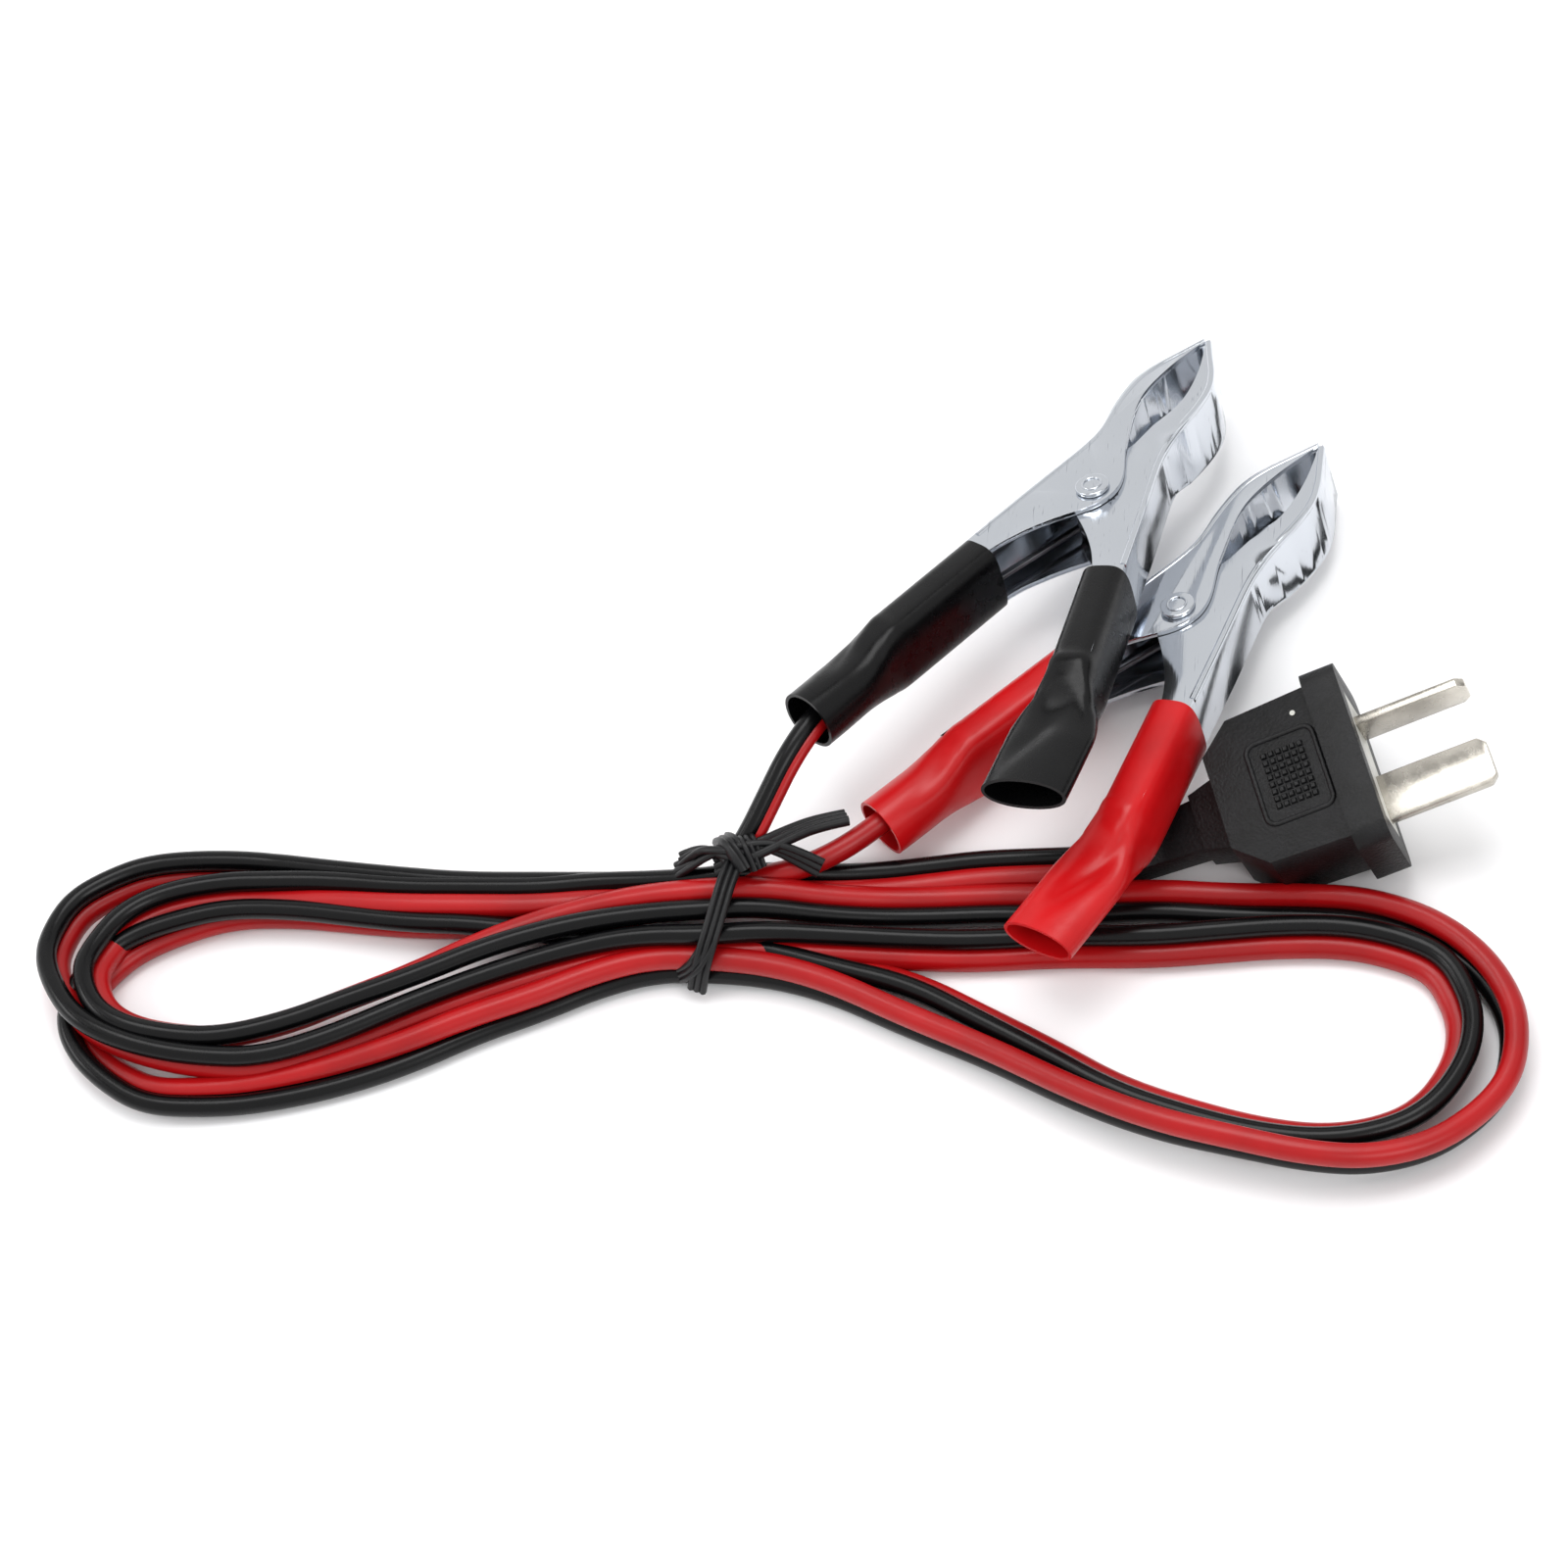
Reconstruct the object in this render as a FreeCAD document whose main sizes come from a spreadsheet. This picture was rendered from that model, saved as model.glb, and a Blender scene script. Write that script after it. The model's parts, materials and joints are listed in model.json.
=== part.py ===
import FreeCAD, Part

import math
import os

import Sketcher

V = FreeCAD.Vector
doc = FreeCAD.newDocument("charging_lead")

# Driving sizes in millimetres and degrees.  "along" runs from a clip's rivet to its nose,
# "lateral" across it, and a clip's own Z is its hinge axis.
SIZES = {
    "sheet_gauge": 0.8,
    "jaw_half_width": 5.6,
    "nested_half_width": 4.7,
    "handle_half_width": 5.5,
    "rivet_radius": 1.6,
    "rivet_clearance": 0.05,
    "rivet_head_radius": 2.25,
    "rivet_head_height": 0.9,
    "spring_wire": 1.2,
    "spring_radius": 3.1,
    "spring_turns": 2.5,
    "spring_pitch": 1.3,
    "spring_level": -0.6,
    "leg_lateral": 14.7,
    "sleeve_height": 12.4,
    "sleeve_width": 7.8,
    "sleeve_wall": 0.45,
    "sleeve_round": 1.6,
    "left_sleeve": 40.5,
    "bare_stretch": 21.0,
    "free_stretch": 25.0,
    "handle_angle": 14.7,
    "conductor_radius": 0.95,
    "conductor_length": 10.0,
    "crimp_wall": 0.6,
    "crimp_length": 4.0,
    "flange_width": 31.0,
    "flange_height": 17.0,
    "flange_depth": 5.5,
    "plug_thickness": 14.0,
    "neck_thickness": 6.4,
    "tail_thickness": 4.8,
    "blade_length": 17.5,
    "blade_gauge": 1.5,
    "blade_spacing": 12.8,
    "narrow_blade": 6.4,
    "wide_blade": 7.9,
    "blade_root": 9.0,
    "holder_depth": 10.0,
    "holder_width": 22.0,
    "holder_height": 9.0,
    "cord_radius": 1.9,
    "black_strand": 3.3,
    "red_strand": 3.7,
    "tie_width": 3.8,
    "left_height": 10.7,
    "right_height": 7.2,
    "shelf_height": 3.8,
    "crossing_height": 10.6,
}
sheet = doc.addObject("Spreadsheet::Sheet", "Sizes")
for row, (alias, value) in enumerate(SIZES.items(), start=1):
    sheet.set(f"A{row}", alias)
    sheet.set(f"B{row}", str(value))
    sheet.setAlias(f"B{row}", alias)
doc.recompute()


def size(alias):
    return float(sheet.get(alias))


# Everything is laid out from the tie, and this brings the origin under the middle of the two clips.
ORIGIN = V(-45, -18, 0)

# Where each clip's rivet stands, and how the clip leans: yaw of the nose, nose-down pitch, right-side-up roll.
CLIPS = {
    "black": FreeCAD.Placement(V(49.5, 41.2, 15.6) + ORIGIN, FreeCAD.Rotation(65.7, 10.0, -13.0)),
    "red": FreeCAD.Placement(V(63.7, 22.6, 9.2) + ORIGIN, FreeCAD.Rotation(57.9, 2.9, -14.0)),
}
PLUG = FreeCAD.Placement(V(93.4, -5.3, 13.25) + ORIGIN, FreeCAD.Rotation(16.0, -14.5, 7.5))

# Web line of a jaw, handle to nose, as (along, lateral) on its outer face, and the cheek's free edge back again.
WEB_LINE = [(-38, 19.6), (-30, 17.5), (-22, 15.4), (-15, 13.6), (-5.5, 11.1), (3.5, 8.6), (9.5, 6.9),
            (14, 6.2), (18.5, 6.8), (23.5, 7.2), (28, 6.9), (32, 5.4), (36, 3.0), (40.2, 0.5)]
MOUTH_EDGE = [(38.6, 0.4), (33.5, 2.2), (28.5, 3.3), (24.2, 3.6), (19, 2.6), (14.5, 1.1), (11.8, 0.15)]
LOBE_EDGE = [(11.8, 0.15), (8, -1.5), (4, -3.3), (0.3, -3.8), (-3.2, -2.5), (-6.8, 0.9), (-11, 4.9),
             (-16, 8.3), (-22, 10.3)]
HANDLE_DEPTH = 5.2


def part_feature(name, shape, placement):
    """A finished solid as a document object of its own, placed in the assembly."""
    feature = doc.addObject("Part::Feature", name)
    feature.Label = name
    feature.Shape = shape
    feature.Placement = placement
    return feature


def spline(points):
    curve = Part.BSplineCurve()
    curve.interpolate([V(x, y, 0) for x, y in points])
    return curve.toShape()


def closed_spline_face(points):
    curve = Part.BSplineCurve()
    curve.interpolate([V(x, y, 0) for x, y in points], PeriodicFlag=True)
    return Part.Face(Part.Wire(curve.toShape()))


def polygon_face(points):
    corners = [V(*p) for p in points]
    return Part.Face(Part.makePolygon(corners + [corners[0]]))


def offset_line(points, distance):
    """The line moved sideways, towards the clip's middle, by a distance."""
    moved = []
    last = len(points) - 1
    for i, (x, y) in enumerate(points):
        ax, ay = points[max(i - 1, 0)]
        bx, by = points[min(i + 1, last)]
        run = math.hypot(bx - ax, by - ay)
        moved.append((x + (by - ay) / run * distance, y - (bx - ax) / run * distance))
    return moved


def width_prism(half_widths, inset):
    """The side view of a jaw, (along, half width) pairs, swept right across the clip."""
    upper = [(a, -30, w - inset) for a, w in half_widths]
    lower = [(a, -30, inset - w) for a, w in reversed(half_widths)]
    return polygon_face(upper + lower).extrude(V(0, 60, 0))


def jaw_shape(half_widths):
    """A channel stamped from sheet: the web follows WEB_LINE and two cheeks stand in from it."""
    gauge = size("sheet_gauge")
    reach = 30.0
    handle_inner = (WEB_LINE[0][0] + 1.3, WEB_LINE[0][1] - HANDLE_DEPTH)
    edges = [
        spline(WEB_LINE),
        Part.makeLine(V(*WEB_LINE[-1], 0), V(*MOUTH_EDGE[0], 0)),
        spline(MOUTH_EDGE),
        spline(LOBE_EDGE),
        Part.makeLine(V(*LOBE_EDGE[-1], 0), V(*handle_inner, 0)),
        Part.makeLine(V(*handle_inner, 0), V(*WEB_LINE[0], 0)),
    ]
    outline = Part.Face(Part.Wire(edges))
    outline.translate(V(0, 0, -reach))
    blank = outline.extrude(V(0, 0, 2 * reach)).common(width_prism(half_widths, 0))

    inside = offset_line(WEB_LINE, gauge)
    tip = inside[-1]
    start = inside[0]
    back = V(start[0] - 5, start[1] + 5 * math.tan(math.radians(size("handle_angle"))), 0)
    hollow_edges = [
        Part.makeLine(back, V(*start, 0)),
        spline(inside),
        Part.makeLine(V(*tip, 0), V(tip[0], -reach, 0)),
        Part.makeLine(V(tip[0], -reach, 0), V(back.x, -reach, 0)),
        Part.makeLine(V(back.x, -reach, 0), back),
    ]
    hollow = Part.Face(Part.Wire(hollow_edges))
    hollow.translate(V(0, 0, -reach))
    longer = [(half_widths[0][0] - 10, half_widths[0][1])] + half_widths[1:-1]
    longer.append((half_widths[-1][0] + 10, half_widths[-1][1]))
    hollow = hollow.extrude(V(0, 0, 2 * reach)).common(width_prism(longer, gauge))

    bore = Part.makeCylinder(size("rivet_radius") + size("rivet_clearance"), 2 * reach, V(0, 0, -reach))
    return blank.cut(hollow).cut(bore)


def mirrored(shape):
    return shape.mirror(V(0, 0, 0), V(0, 1, 0))


def handle_frame(lateral_in, along):
    """A frame on a left handle: X runs back along it, Z is the hinge axis."""
    angle = math.radians(size("handle_angle"))
    web = WEB_LINE[3]
    run = (web[0] - along) / math.cos(angle)
    x = along - lateral_in * math.sin(angle)
    y = web[1] + run * math.sin(angle) - lateral_in * math.cos(angle)
    return FreeCAD.Placement(V(x, y, 0), FreeCAD.Rotation(180 - size("handle_angle"), 0, 0))


def bound_cylinder(name, radius, height, placement):
    """A Part cylinder whose sizes stay tied to the sheet."""
    cylinder = doc.addObject("Part::Cylinder", name)
    cylinder.setExpression("Radius", radius)
    cylinder.setExpression("Height", height)
    cylinder.Placement = placement
    return cylinder


def origin_plane(body, role):
    return next(f for f in body.Origin.OriginFeatures if f.Role == role)


def new_sketch(body, name, role):
    sketch = body.newObject("Sketcher::SketchObject", name)
    sketch.AttachmentSupport = [(origin_plane(body, role), "")]
    sketch.MapMode = "FlatFace"
    return sketch


def closed_polygon(sketch, points):
    first = sketch.GeometryCount
    count = len(points)
    for i, (x, y) in enumerate(points):
        nx, ny = points[(i + 1) % count]
        sketch.addGeometry(Part.LineSegment(V(x, y, 0), V(nx, ny, 0)), False)
    for i in range(count):
        sketch.addConstraint(Sketcher.Constraint("Coincident", first + i, 2, first + (i + 1) % count, 1))


def bound_rectangle(sketch, width, height, offset_y="0"):
    """A rectangle centred on the sketch's Y axis, its sides tied to the sheet."""
    closed_polygon(sketch, [(-1, -1), (1, -1), (1, 1), (-1, 1)])
    base = sketch.GeometryCount - 4
    for line in (base, base + 2):
        sketch.addConstraint(Sketcher.Constraint("Horizontal", line))
    for line in (base + 1, base + 3):
        sketch.addConstraint(Sketcher.Constraint("Vertical", line))
    settings = [
        ("DistanceX", base, 1, base, 2, width),
        ("DistanceY", base + 1, 1, base + 1, 2, height),
        ("DistanceX", base, 1, -1, 1, f"({width}) / 2"),
        ("DistanceY", base, 1, -1, 1, f"({height}) / 2 - ({offset_y})"),
    ]
    for kind, line_a, end_a, line_b, end_b, formula in settings:
        index = sketch.addConstraint(Sketcher.Constraint(kind, line_a, end_a, line_b, end_b, 1.0))
        sketch.setExpression(f"Constraints[{index}]", formula)


def pad(body, sketch, name, length, midplane=False, reverse=False):
    feature = body.newObject("PartDesign::Pad", name)
    feature.Profile = sketch
    feature.setExpression("Length", length)
    feature.Midplane = midplane
    feature.Reversed = reverse
    return feature


def fillet_edges(body, base, name, radius, wanted):
    """Round the edges that a test picks out of the last feature."""
    doc.recompute()
    chosen = [f"Edge{i + 1}" for i, edge in enumerate(base.Shape.Edges) if wanted(edge)]
    feature = body.newObject("PartDesign::Fillet", name)
    feature.Base = (base, chosen)
    feature.Radius = radius
    return feature


def along_x(edge):
    direction = edge.tangentAt(edge.FirstParameter)
    return len(edge.Vertexes) == 2 and abs(direction.x) > 0.999


def build_sleeve(name, placement):
    """Soft vinyl tube pulled over a handle: a rounded oval, open at both ends."""
    body = doc.addObject("PartDesign::Body", name)
    body.Label = name
    outer = new_sketch(body, name + "_section", "YZ_Plane")
    bound_rectangle(outer, "Sizes.sleeve_width", "Sizes.sleeve_height")
    block = pad(body, outer, name + "_pad", "Sizes.left_sleeve")
    rounded = fillet_edges(body, block, name + "_round", size("sleeve_round"), along_x)
    doc.recompute()
    hollow = body.newObject("PartDesign::Thickness", name + "_hollow")
    ends = [f"Face{i + 1}" for i, face in enumerate(rounded.Shape.Faces)
            if abs(abs(face.normalAt(0, 0).x) - 1) < 1e-6]
    hollow.Base = (rounded, ends)
    hollow.setExpression("Value", "Sizes.sleeve_wall")
    hollow.Mode = 0
    hollow.Reversed = True
    body.Placement = placement


def sleeve_section(inset):
    """The sleeve's rounded section, on the plane across its start."""
    half_width = size("sleeve_width") / 2 - inset
    half_height = size("sleeve_height") / 2 - inset
    block = Part.makeBox(1, 2 * half_width, 2 * half_height, V(0, -half_width, -half_height))
    rounded = block.makeFillet(size("sleeve_round") - inset, [e for e in block.Edges if along_x(e)])
    return next(face for face in rounded.Faces if face.normalAt(0, 0).x < -0.999).OuterWire


def bent_sleeve(bend):
    """A sleeve with nothing in its free end, which leans inwards from where the handle stops."""
    angle = math.radians(bend)
    lean = V(math.cos(angle), -math.sin(angle), 0)
    corner = V(size("bare_stretch"), 0, 0)
    reach = 8.0
    radius = reach / math.tan(angle / 2)
    enter = corner - V(reach, 0, 0)
    leave = corner + lean * reach
    middle = enter + V(radius * math.sin(angle / 2), -radius * (1 - math.cos(angle / 2)), 0)
    path = Part.Wire([
        Part.LineSegment(V(0, 0, 0), enter).toShape(),
        Part.Arc(enter, middle, leave).toShape(),
        Part.LineSegment(leave, corner + lean * size("free_stretch")).toShape(),
    ])
    outer = path.makePipeShell([sleeve_section(0)], True, False)
    inner = path.makePipeShell([sleeve_section(size("sleeve_wall"))], True, False)
    return outer.cut(inner)


def build_rivet(name, placement):
    """Headed both ends, with the shallow dimple that the setting punch leaves."""
    body = doc.addObject("PartDesign::Body", name)
    body.Label = name
    sketch = new_sketch(body, name + "_half", "XZ_Plane")
    shank = size("rivet_radius")
    head = size("rivet_head_radius")
    face = size("jaw_half_width") + 0.02
    top = face + size("rivet_head_height")
    dimple = 0.3
    upper = [(0, top - dimple), (1.1, top - dimple), (1.35, top), (head - 0.35, top), (head, top - 0.35),
             (head, face), (shank, face)]
    lower = [(x, -z) for x, z in reversed(upper)]
    closed_polygon(sketch, upper + lower)
    turn = body.newObject("PartDesign::Revolution", name + "_turn")
    turn.Profile = sketch
    turn.ReferenceAxis = (sketch, ["V_Axis"])
    turn.Angle = 360.0
    body.Placement = placement
    return body


def wire_leg(start, end):
    run = end - start
    return Part.makeCylinder(size("spring_wire") / 2, run.Length, start, run)


def fixed_spring():
    """Close-wound coil round the rivet, and the leg that presses on the left handle's web."""
    wire = size("spring_wire") / 2
    radius = size("spring_radius")
    height = size("spring_turns") * size("spring_pitch")
    foot = size("spring_level") - height / 2
    path = Part.makeHelix(size("spring_pitch"), height, radius)
    ring = Part.Wire(Part.makeCircle(wire, V(radius, 0, 0), V(0, 1, 0)))
    coil = Part.Wire(path.Edges).makePipeShell([ring], True, True)
    coil.rotate(V(0, 0, 0), V(0, 0, 1), 90)
    coil.translate(V(0, 0, foot))
    return coil.fuse(wire_leg(V(0, radius, foot), V(-25, size("leg_lateral"), foot)))


def moving_spring():
    """The last turn and the leg that presses on the right handle's web, which swing with that handle."""
    wire = size("spring_wire") / 2
    radius = size("spring_radius")
    level = size("spring_level") + size("spring_turns") * size("spring_pitch") / 2 + 2 * wire + 0.08
    turn = Part.makeTorus(radius, wire, V(0, 0, level), V(0, 0, 1), 0, 360, 250)
    turn.rotate(V(0, 0, 0), V(0, 0, 1), -90)
    return turn.fuse(wire_leg(V(0, -radius, level), V(-25, -size("leg_lateral"), level)))


def crimp_shape():
    """The two ears that fold over the conductor near the handle's end."""
    inner = size("conductor_radius") + 0.03
    outer = inner + size("crimp_wall")
    length = size("crimp_length")
    ring = Part.makeCylinder(outer, length).cut(Part.makeCylinder(inner, length))
    ring.rotate(V(0, 0, 0), V(0, 1, 0), 90)
    ring.Placement = conductor_frame().multiply(ring.Placement)
    return ring


def conductor_frame():
    lateral_in = size("sheet_gauge") + size("conductor_radius") + size("crimp_wall") - 0.1
    return handle_frame(lateral_in, -30.0)


FULL = size("jaw_half_width")
NESTED = size("nested_half_width")
HANDLE = size("handle_half_width")
OUTER_WIDTHS = [(-45, HANDLE), (-14, HANDLE), (-12, FULL), (45, FULL)]
INNER_WIDTHS = [(-45, HANDLE), (-23, HANDLE), (-18, NESTED), (13, NESTED), (17, FULL), (45, FULL)]

# Where each sleeve starts along its handle, and how far the right ones lean inwards past the metal.
LEFT_START = {"black": -17.0, "red": -14.5}
RIGHT_START = -17.0
RIGHT_BEND = {"black": 6.0, "red": 14.0}


def build_clip(colour):
    where = CLIPS[colour]
    outer = jaw_shape(OUTER_WIDTHS).fuse(crimp_shape())
    part_feature(f"{colour}_outer_jaw", outer, where)
    part_feature(f"{colour}_inner_jaw", mirrored(jaw_shape(INNER_WIDTHS)), where)
    build_rivet(f"{colour}_rivet", where)
    part_feature(f"{colour}_spring", fixed_spring(), where)
    part_feature(f"{colour}_spring_leg", moving_spring(), where)
    left = handle_frame(HANDLE_DEPTH / 2 + 0.3, LEFT_START[colour])
    right = handle_frame(HANDLE_DEPTH / 2 + 0.3, RIGHT_START)
    flip = FreeCAD.Placement(V(right.Base.x, -right.Base.y, 0),
                             FreeCAD.Rotation(180 + size("handle_angle"), 0, 0))
    build_sleeve(f"{colour}_left_sleeve", where.multiply(left))
    part_feature(f"{colour}_right_sleeve", bent_sleeve(RIGHT_BEND[colour]), where.multiply(flip))
    lay = FreeCAD.Placement(V(0, 0, 0), FreeCAD.Rotation(V(0, 1, 0), 90))
    wire = conductor_frame().multiply(lay)
    bound_cylinder(f"{colour}_conductor", "Sizes.conductor_radius", "Sizes.conductor_length",
                   where.multiply(wire))


for colour in CLIPS:
    build_clip(colour)


# Plug: X points out of the face along the blades, Z out of the broad side.
BODY_OUTLINE = [(-5.4, 13.2), (-18.5, 12.6), (-23.5, 8.0), (-23.5, -8.0), (-18.5, -12.6), (-5.4, -13.2)]
NECK_OUTLINE = [(-22, 6.6), (-28, 4.8), (-28, -4.8), (-22, -6.6)]
TAIL_OUTLINE = [(-27, 4.4), (-43, 3.2), (-43, -3.2), (-27, -4.4)]
plug = doc.addObject("PartDesign::Body", "plug_body")
plug.Label = "plug_body"
flange_sketch = new_sketch(plug, "flange_sketch", "YZ_Plane")
bound_rectangle(flange_sketch, "Sizes.flange_width", "Sizes.flange_height")
flange = pad(plug, flange_sketch, "flange", "Sizes.flange_depth", reverse=True)
fillet_edges(plug, flange, "flange_round", 3.0, along_x)
for name, outline, thickness in (
    ("grip", BODY_OUTLINE, "Sizes.plug_thickness"),
    ("neck", NECK_OUTLINE, "Sizes.neck_thickness"),
    ("tail", TAIL_OUTLINE, "Sizes.tail_thickness"),
):
    outline_sketch = new_sketch(plug, name + "_sketch", "XY_Plane")
    closed_polygon(outline_sketch, outline)
    pad(plug, outline_sketch, name, thickness, midplane=True)
holder_sketch = new_sketch(plug, "holder_seat_sketch", "YZ_Plane")
bound_rectangle(holder_sketch, "Sizes.holder_width", "Sizes.holder_height")
seat = plug.newObject("PartDesign::Pocket", "holder_seat")
seat.Profile = holder_sketch
seat.setExpression("Length", "Sizes.holder_depth")
plug.Placement = PLUG

# The stiff insert that holds the blades, with a slot for each blade's root.
holder = doc.addObject("PartDesign::Body", "blade_holder")
holder.Label = "blade_holder"
block_sketch = new_sketch(holder, "holder_sketch", "YZ_Plane")
bound_rectangle(block_sketch, "Sizes.holder_width", "Sizes.holder_height")
pad(holder, block_sketch, "holder_block", "Sizes.holder_depth", reverse=True)
for name, side, wide, tall in (
    ("narrow", "Sizes.blade_spacing / 2", "Sizes.blade_gauge", "Sizes.narrow_blade"),
    ("wide", "-Sizes.blade_spacing / 2", "Sizes.wide_blade", "Sizes.blade_gauge"),
):
    slot_sketch = new_sketch(holder, name + "_slot_sketch", "YZ_Plane")
    bound_rectangle(slot_sketch, wide, tall)
    slot_sketch.setExpression("AttachmentOffset.Base.x", side)
    slot = holder.newObject("PartDesign::Pocket", name + "_slot")
    slot.Profile = slot_sketch
    slot.setExpression("Length", "Sizes.blade_root")
    blade = doc.addObject("PartDesign::Body", name + "_blade")
    blade.Label = name + "_blade"
    blade_sketch = new_sketch(blade, name + "_blade_sketch", "YZ_Plane")
    bound_rectangle(blade_sketch, wide, tall)
    blade_sketch.setExpression("AttachmentOffset.Base.x", side)
    blade_sketch.setExpression("AttachmentOffset.Base.z", "-Sizes.blade_root")
    stem = pad(blade, blade_sketch, name + "_stem", "Sizes.blade_root + Sizes.blade_length")
    doc.recompute()
    tip_x = size("blade_length")
    corners = [f"Edge{i + 1}" for i, edge in enumerate(stem.Shape.Edges)
               if edge.Length < size("blade_gauge") + 0.1 and abs(edge.CenterOfMass.x - tip_x) < 0.1]
    chamfer = blade.newObject("PartDesign::Chamfer", name + "_lead_in")
    chamfer.Base = (stem, corners)
    chamfer.Size = 1.2
    blade.Placement = PLUG
holder.Placement = PLUG


def smooth_path(points):
    """Straight runs joined by tangent arcs, each as large as its two runs allow.  Prints the radii."""
    corners = [V(*p) for p in points]
    edges = []
    radii = []
    at = corners[0]
    for i in range(1, len(corners) - 1):
        back = corners[i - 1] - corners[i]
        ahead = corners[i + 1] - corners[i]
        reach = 0.45 * min(back.Length, ahead.Length)
        back.normalize()
        ahead.normalize()
        half_turn = (math.pi - back.getAngle(ahead)) / 2
        radius = reach / math.tan(half_turn)
        radii.append(round(radius, 1))
        enter = corners[i] + back * reach
        leave = corners[i] + ahead * reach
        middle = back + ahead
        middle.normalize()
        centre_distance = radius / math.cos(half_turn)
        top = corners[i] + middle * (centre_distance - radius)
        edges.append(Part.LineSegment(at, enter).toShape())
        edges.append(Part.Arc(enter, top, leave).toShape())
        at = leave
    edges.append(Part.LineSegment(at, corners[-1]).toShape())
    return Part.Wire(edges), radii


def cord_tube(name, points, radius):
    path, radii = smooth_path(points)
    start = V(*points[0])
    section = Part.Wire(Part.makeCircle(radius, start, V(*points[1]) - start))
    tube = path.makePipeShell([section], True, False)
    expected = math.pi * radius ** 2 * path.Length
    print(f"{name}: length {path.Length:.1f}, smallest radius {min(radii)}, all {radii}, "
          f"volume ratio {tube.Volume / expected:.4f}")
    part_feature(name, tube, FreeCAD.Placement(ORIGIN, FreeCAD.Rotation()))


# The stretch of twin cord from the plug's tail to the tied hank.
PLUG_RUN = [(53.4, -16.8, 2.5), (47.0, -16.9, 2.1), (40, -17.1, 2.0), (33, -17.5, 2.0), (25.5, -18.6, 2.0),
            (17.9, -20.2, 2.0), (10.4, -21.4, 2.4)]
BLACK_LEAD = [(-6, -21, 8), (-3, -18.2, 11), (0.5, -12.5, 15), (4, -6.5, 18.8), (8.5, 0.9, 20.1), (12.8, 6.3, 19.4),
              (17, 11.6, 18.6)]
RED_LEAD = [(1, -21.5, 6.6), (6.5, -20.2, 7.2), (12.5, -17.2, 8), (18.4, -12, 8.2), (23.1, -7.5, 8.3),
            (27.7, -3.3, 8.4)]
cord_tube("cord_plug_run", PLUG_RUN, size("cord_radius"))
cord_tube("black_lead", BLACK_LEAD, size("black_strand") / 2)
cord_tube("red_lead", RED_LEAD, size("red_strand") / 2)

# The tied hank as one closed solid: the outline of its three left turns and two right turns.
LEFT_OUTSIDE = [(-8, -19.3), (-24, -19.9), (-49, -19.4), (-70, -17.3), (-91, -16.4), (-103, -18.2),
                (-111.5, -24), (-115.2, -34), (-113.5, -45), (-109, -53.5), (-101, -60), (-88, -63.4),
                (-70, -60.3), (-50, -53.2), (-30, -43.5), (-8, -38.6)]
LEFT_INSIDE = [(-52, -33.2), (-62, -31.2), (-75, -29.8), (-87, -30.2), (-95, -33), (-101, -37.5), (-102.6, -41.5),
               (-99.5, -45.5), (-92, -48.2), (-83, -48), (-73, -44.9), (-62, -39.5)]
RIGHT_OUTSIDE = [(-14, -20), (0, -20.5), (20, -20.8), (48, -20.3), (75, -20.9), (93, -22.5), (106, -28), (114, -37.5),
                 (117.6, -48), (116.5, -56.5), (110, -65), (98, -71.5), (84, -73.3), (70, -70.3), (52, -63),
                 (34, -53), (16, -44.5), (2, -40), (-14, -38.6)]
RIGHT_INSIDE = [(30, -36.8), (45, -34.8), (62, -33.9), (80, -31.9), (93, -32.6), (101, -36.5), (105.6, -44),
                (105, -52), (100, -58.8), (90, -62.4), (78, -62), (62, -57), (45, -47.8), (34, -40.6)]
left_turns = closed_spline_face(LEFT_OUTSIDE).cut(closed_spline_face(LEFT_INSIDE))
right_turns = closed_spline_face(RIGHT_OUTSIDE).cut(closed_spline_face(RIGHT_INSIDE))
crossing_zone = Part.makeBox(70, 25, size("crossing_height"), V(36, -75, 0))
shelf_zone = Part.makeBox(62, 20, size("right_height"), V(12, -36, size("shelf_height")))
crossing = right_turns.extrude(V(0, 0, size("crossing_height"))).common(crossing_zone)
hank = left_turns.extrude(V(0, 0, size("left_height")))
# Under the clips the turns lie flat, so the hank is lower there.
right = right_turns.extrude(V(0, 0, size("right_height"))).cut(shelf_zone)
hank = hank.fuse([right, crossing]).removeSplitter()
part_feature("cord_hank", hank, FreeCAD.Placement(ORIGIN, FreeCAD.Rotation()))

# Twist tie: a band round the waist of the hank, and its twisted end lying on top.
waist = Part.makeBox(size("tie_width"), 21.5, size("left_height") + 0.9, V(-9, -40.5, 0))
part_feature("twist_tie", waist.cut(hank), FreeCAD.Placement(ORIGIN, FreeCAD.Rotation()))

doc.recompute()
KEEP = [o for o in doc.Objects if o.TypeId in ("PartDesign::Body", "Part::Feature", "Part::Cylinder")]
for o in doc.Objects:
    if "Invalid" in o.State or "Error" in o.State:
        raise RuntimeError(f"{o.Label} failed: {o.State}")
for o in KEEP:
    if o.Shape.isNull() or not o.Shape.isValid() or not o.Shape.Solids:
        raise RuntimeError(f"{o.Label} has no valid solid")

os.makedirs("parts", exist_ok=True)
for o in KEEP:
    o.Shape.exportStep(f"parts/{o.Label}.step")
    box = o.Shape.BoundBox
    print(f"{o.Label}: {len(o.Shape.Solids)} solid, {o.Shape.Volume:.0f} mm3, "
          f"x {box.XMin:.1f}..{box.XMax:.1f} y {box.YMin:.1f}..{box.YMax:.1f} z {box.ZMin:.1f}..{box.ZMax:.1f}")
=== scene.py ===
import json
import math

import bpy
from mathutils import Matrix, Vector


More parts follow.
